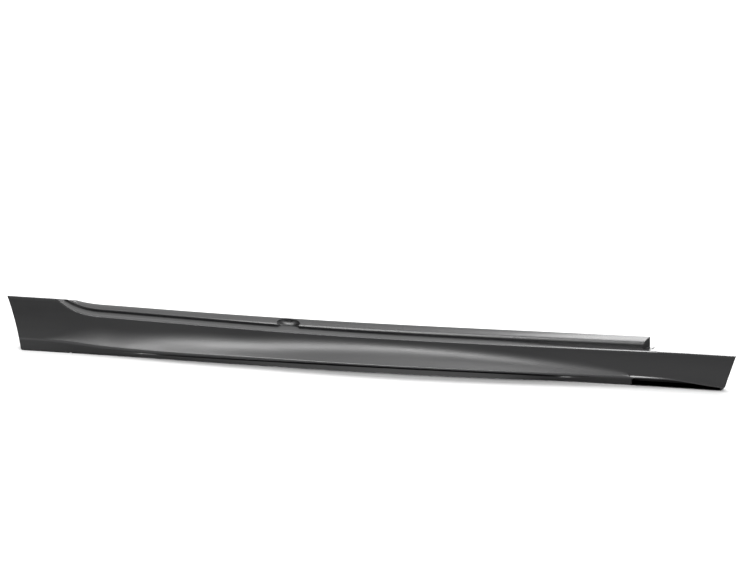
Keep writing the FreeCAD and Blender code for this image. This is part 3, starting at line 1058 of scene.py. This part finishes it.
def gusset(number: int) -> Thing:
    """One triangular rib between the floor flange and the outer wall.

    Args:
        number: Its number along the car, from nothing.

    Returns:
        The rib, cut clear of the front recess.
    """
    x = (number - (S.gusset_count - 1) / 2) * S.gusset_spacing
    side, low, steps = float(LAWS.side(np.array([x]))[0]), 0.5, 24
    heights = np.linspace(S.wall, S.gusset_height, steps)
    outs = side_profile(np.full(steps, x), heights) - S.wall / 2
    corners = [(side - S.gusset_depth, low), (float(outs[0]) - 4.0, low)]
    corners += list(zip(outs.tolist(), heights.tolist()))
    corners += [(side - S.wall - SKIN_GAP, S.gusset_height)]
    rib = make_object(f"gusset_{number + 1}", prism(corners, x - S.rib / 2, x + S.rib / 2, "x"))
    if x > S.rail_end - S.recess_start:
        space = make_object("gusset_space", prism(recess_outline(1.0), -12.0, CLEAR, "y"))
        boolean(rib, space, "DIFFERENCE")
    return rib


# The floor's colour to the camera, and its colour to all other rays, a painted light that is
# brighter near the skirt
# for the skirt to reflect: its far and near distance, and the far and near share; then the
# strength of the white world
FLOOR_COLOUR = (0.93, 0.93, 0.93, 1.0)
FLOOR_PAINTED_LIGHT = (-0.42, -0.10, 0.12, 0.60)
WORLD_LIGHT = 0.55


@dataclass(frozen=True)
class Finish:
    """Look of the moulded plastic."""

    base: tuple[float, float, float] = (0.0055, 0.0055, 0.0058)
    # Lighter colour of the edges: rubbed plastic and a painted highlight, strongest on the crease.
    rubbed_and_highlit: tuple[float, float, float] = (0.030, 0.030, 0.031)
    sheen: float = 0.42
    roughness: float = 0.30
    spread: float = 0.03
    clouds: tuple[float, float] = (0.3, 0.7)
    polish: float = 0.12
    grain_scale: float = 1500.0
    grain: float = 0.10
    grain_depth: float = 0.0002


FINISH = Finish()


RANGE = ("From Min", "From Max", "To Min", "To Max")


def add(
    tree: bpy.types.NodeTree, kind: str, inputs: dict | None = None, **traits: object
) -> bpy.types.Node:
    """Adds a shader node to a tree and sets its own traits, then its inputs."""
    node = tree.nodes.new("ShaderNode" + kind)
    for name, value in traits.items():
        setattr(node, name, value)
    for entry, value in (inputs or {}).items():
        node.inputs[entry].default_value = value
    return node


def join(tree: bpy.types.NodeTree, *wires: tuple) -> None:
    """Links nodes; each wire is a node, its output, the next node and its input."""
    for source, output, target, entry in wires:
        tree.links.new(source.outputs[output], target.inputs[entry])


def grain_group() -> bpy.types.NodeTree:
    """Node group with the fine grain and the slow sheen changes of moulded plastic."""
    group = bpy.data.node_groups.new("moulded_grain", "ShaderNodeTree")
    for name, way in (("Scale", "INPUT"), ("Height", "OUTPUT"), ("Sheen", "OUTPUT")):
        group.interface.new_socket(name, in_out=way, socket_type="NodeSocketFloat")
    first, last = group.nodes.new("NodeGroupInput"), group.nodes.new("NodeGroupOutput")
    where = add(group, "TexCoord")
    grain = add(group, "TexNoise", {"Detail": 3.0})
    cells = add(group, "TexVoronoi", {"Randomness": 1.0})
    both = add(group, "Math", {1: 0.5}, operation="MULTIPLY_ADD")
    flow = add(group, "Mapping", {"Scale": (3.0, 22.0, 22.0)})
    cloud = add(group, "TexNoise", {"Scale": 1.0, "Detail": 4.0})
    join(
        group,
        (where, "Object", grain, "Vector"),
        (where, "Object", cells, "Vector"),
        (where, "Object", flow, "Vector"),
        (flow, "Vector", cloud, "Vector"),
        (first, "Scale", grain, "Scale"),
        (first, "Scale", cells, "Scale"),
        (cells, "Distance", both, 0),
        (grain, "Fac", both, 2),
        (both, 0, last, "Height"),
        (cloud, "Fac", last, "Sheen"),
    )
    return group


def skirt_material() -> bpy.types.Material:
    """Satin black moulded plastic, with fine grain, and with lighter edges for rubbing and a
    painted highlight, strongest on the crease.

    Returns:
        The material.
    """
    material = bpy.data.materials.new("skirt_plastic_look")
    material.use_nodes = True
    tree = material.node_tree
    shader = tree.nodes["Principled BSDF"]
    shader.inputs["Specular IOR Level"].default_value = FINISH.sheen
    grain = add(tree, "Group", {"Scale": FINISH.grain_scale}, node_tree=grain_group())
    smooth, dull = FINISH.roughness - FINISH.spread, FINISH.roughness + FINISH.spread
    rough = add(tree, "MapRange", dict(zip(RANGE, (*FINISH.clouds, smooth, dull))))
    # Mask of the lighter edges: rubbing and a painted highlight.
    rub_and_highlight_mask = add(tree, "Attribute", attribute_name="rubbed_and_highlit_edges")
    rubbed_and_highlit = add(tree, "Math", operation="MULTIPLY")
    colours = {"A": (*FINISH.base, 1.0), "B": (*FINISH.rubbed_and_highlit, 1.0)}
    colour = add(tree, "Mix", colours, data_type="RGBA")
    smoother = add(tree, "Math", {1: -FINISH.polish}, operation="MULTIPLY_ADD")
    bump = add(tree, "Bump", {"Strength": FINISH.grain, "Distance": FINISH.grain_depth})
    join(
        tree,
        (grain, "Sheen", rough, "Value"),
        (rub_and_highlight_mask, "Fac", rubbed_and_highlit, 0),
        (grain, "Sheen", rubbed_and_highlit, 1),
        (rubbed_and_highlit, 0, colour, "Factor"),
        (colour, "Result", shader, "Base Color"),
        (rubbed_and_highlit, 0, smoother, 0),
        (rough, "Result", smoother, 2),
        (smoother, 0, shader, "Roughness"),
        (grain, "Height", bump, "Height"),
        (bump, "Normal", shader, "Normal"),
    )
    return material


def screw_hole(number: int) -> Thing:
    """The space of one screw hole in the floor flange."""
    x = (number - (S.screw_count - 1) / 2) * S.screw_spacing
    bpy.ops.object.select_all(action="DESELECT")
    bpy.ops.mesh.primitive_cylinder_add(
        vertices=48, radius=S.screw_radius * MM, depth=12 * MM, location=(x * MM, 0, 0)
    )
    hole = bpy.context.object
    bpy.ops.object.transform_apply(location=True, rotation=True, scale=True)
    return hole


def build_skirt() -> list[Thing]:
    """Builds the skirt and says where each piece belongs in the shared frame.

    Returns:
        All pieces of the skirt.
    """
    shell = make_object("skirt_skin", sweep_skirt())
    boolean(shell, SCOOP.cutter(), "DIFFERENCE")
    space = make_object("recess_cut", prism(recess_outline(0.0), -10.0, CLEAR, "y"))
    boolean(shell, space, "DIFFERENCE")
    for number in range(S.screw_count):
        boolean(shell, screw_hole(number), "DIFFERENCE")
    pieces = [shell, SCOOP.bowl(), recess_pocket()]
    pieces += [arch_flange("arch_flange_rear", False), arch_flange("arch_flange_front", True)]
    pieces += [gusset(number) for number in range(S.gusset_count)]
    material = skirt_material()
    for piece in pieces:
        pick(piece)
        bpy.ops.object.shade_smooth_by_angle(angle=math.radians(SMOOTH_ANGLE))
        piece.data.materials.clear()
        piece.data.materials.append(material)
        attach(piece, BODY)
        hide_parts(CAD_NODE)
        log.info("%s: %d faces", piece.name, len(piece.data.polygons))
    return pieces


@dataclass(frozen=True)
class Lamp:
    """A soft rectangular lamp: its centre, the point it looks at, its size and radiance.

    A flagged lamp lights the skirt and not the floor.
    """

    name: str
    place: tuple[float, float, float]
    aim: tuple[float, float, float]
    size: tuple[float, float]
    glow: float
    flagged: bool = False


LAMPS = (
    Lamp("front_strip", (-0.85, -4.0, 0.80), (-0.1, 0.0, 0.08), (2.4, 0.50), 32.0),
    Lamp("front_top", (0.0, -3.4, 2.4), (0.0, 0.0, 0.06), (4.0, 0.9), 5.0),
    Lamp("overhead", (-0.1, 0.9, 3.4), (-0.1, 0.0, 0.1), (5.0, 4.2), 2.8),
    Lamp("overhead_fore", (-0.1, -2.1, 3.3), (-0.1, 0.0, 0.1), (4.4, 1.8), 3.4, True),
    Lamp("rail_front", (0.72, -0.30, 1.15), (0.77, 0.0, 0.13), (0.5, 2.0), 18.0, True),
    Lamp("right_high", (2.4, 0.6, 2.6), (-0.8, 0.0, 0.14), (1.2, 1.2), 14.0, True),
    Lamp("back_right", (0.25, 3.2, 2.1), (0.6, 0.0, 0.1), (1.1, 1.1), 20.0, True),
    Lamp("back_fill", (-0.2, 4.5, 1.3), (0.0, 0.0, 0.06), (4.5, 1.2), 2.5, True),
)


def area_light(lamp: Lamp, skirt: bpy.types.Collection) -> None:
    """Makes one lamp, whose power follows from its area and radiance.

    Args:
        lamp: The lamp's place, size and radiance.
        skirt: Collection of the skirt's pieces, for a lamp that is flagged off the floor.
    """
    light = bpy.data.lights.new(lamp.name, "AREA")
    light.shape = "RECTANGLE"
    light.size, light.size_y = lamp.size
    light.energy = lamp.glow * math.pi * lamp.size[0] * lamp.size[1]
    thing = bpy.data.objects.new(lamp.name, light)
    thing.location = lamp.place
    towards = Vector(lamp.aim) - Vector(lamp.place)
    thing.rotation_euler = towards.to_track_quat("-Z", "Y").to_euler()
    thing.visible_camera = False
    bpy.context.scene.collection.objects.link(thing)
    if lamp.flagged:
        thing.light_linking.receiver_collection = skirt


def floor_material() -> bpy.types.Material:
    """One pale colour to the camera, and to all other rays a darker one with painted light,
    brighter within about 0.1 m in front of the skirt and behind it.

    Returns:
        The material.
    """
    paint = bpy.data.materials.new("floor_look")
    paint.use_nodes = True
    tree = paint.node_tree
    shader = tree.nodes["Principled BSDF"]
    shader.inputs["Roughness"].default_value = 0.9
    path = add(tree, "LightPath")
    shade = add(tree, "Mix", {"B": FLOOR_COLOUR}, data_type="RGBA")
    where = add(tree, "TexCoord")
    split = add(tree, "SeparateXYZ")
    # Painted light for reflected rays: the floor's colour grows from far in front of the skirt to
    # near it.
    ends = dict(zip(RANGE, FLOOR_PAINTED_LIGHT))
    painted_light = add(tree, "MapRange", ends, interpolation_type="SMOOTHSTEP")
    join(
        tree,
        (where, "Object", split, "Vector"),
        (split, "Y", painted_light, "Value"),
        (painted_light, "Result", shade, "A"),
        (path, "Is Camera Ray", shade, "Factor"),
        (shade, "Result", shader, "Base Color"),
    )
    return paint


def build_stage(pieces: Sequence[Thing]) -> None:
    """Pale floor and soft studio light.

    Args:
        pieces: The skirt's pieces, for the lamps that are flagged off the floor.
    """
    bpy.ops.object.select_all(action="DESELECT")
    bpy.ops.mesh.primitive_plane_add(size=60.0, location=(0.0, 0.0, -0.0006))
    floor = bpy.context.object
    floor.name = "floor"
    floor.data.materials.append(floor_material())
    world = bpy.data.worlds.new("studio")
    world.use_nodes = True
    backdrop = world.node_tree.nodes["Background"]
    backdrop.inputs["Color"].default_value = (1.0, 1.0, 1.0, 1.0)
    backdrop.inputs["Strength"].default_value = WORLD_LIGHT
    bpy.context.scene.world = world
    bpy.context.scene.view_settings.view_transform = "Standard"
    skirt = bpy.data.collections.new("skirt_lit")
    for piece in pieces:
        skirt.objects.link(piece)
    for lamp in LAMPS:
        area_light(lamp, skirt)


@dataclass(frozen=True)
class View:
    """The photo's view, with angles in degrees, lens in millimetres and the rest in metres."""

    elevation: float = 25.0
    turn: float = 8.32
    aim_right: float = 0.0081
    aim_up: float = 0.2320
    width: float = 2.040
    lens: float = 800.0
    sensor: float = 36.0
    far: float = 200.0


VIEW = View()


def build_camera() -> None:
    """Camera with a long lens at the photo's elevation and turn."""
    elevation, turn = math.radians(VIEW.elevation), math.radians(VIEW.turn)
    level = math.cos(elevation)
    back = Vector((math.sin(turn) * level, -math.cos(turn) * level, math.sin(elevation)))
    right = Vector((math.cos(turn), math.sin(turn), 0.0))
    up = back.cross(right)
    aim = right * VIEW.aim_right + up * VIEW.aim_up
    lens = bpy.data.cameras.new("camera")
    lens.lens = VIEW.lens
    lens.sensor_width = VIEW.sensor
    lens.clip_end = VIEW.far
    camera = bpy.data.objects.new("camera", lens)
    camera.location = aim + back * (VIEW.width * VIEW.lens / VIEW.sensor)
    camera.rotation_euler = (-back).to_track_quat("-Z", "Y").to_euler()
    bpy.context.scene.collection.objects.link(camera)
    bpy.context.scene.camera = camera


def main() -> None:
    """Builds the skirt and its studio."""
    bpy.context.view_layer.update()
    build_stage(build_skirt())
    build_camera()
    bpy.context.view_layer.update()


if __name__ == "__main__":
    main()
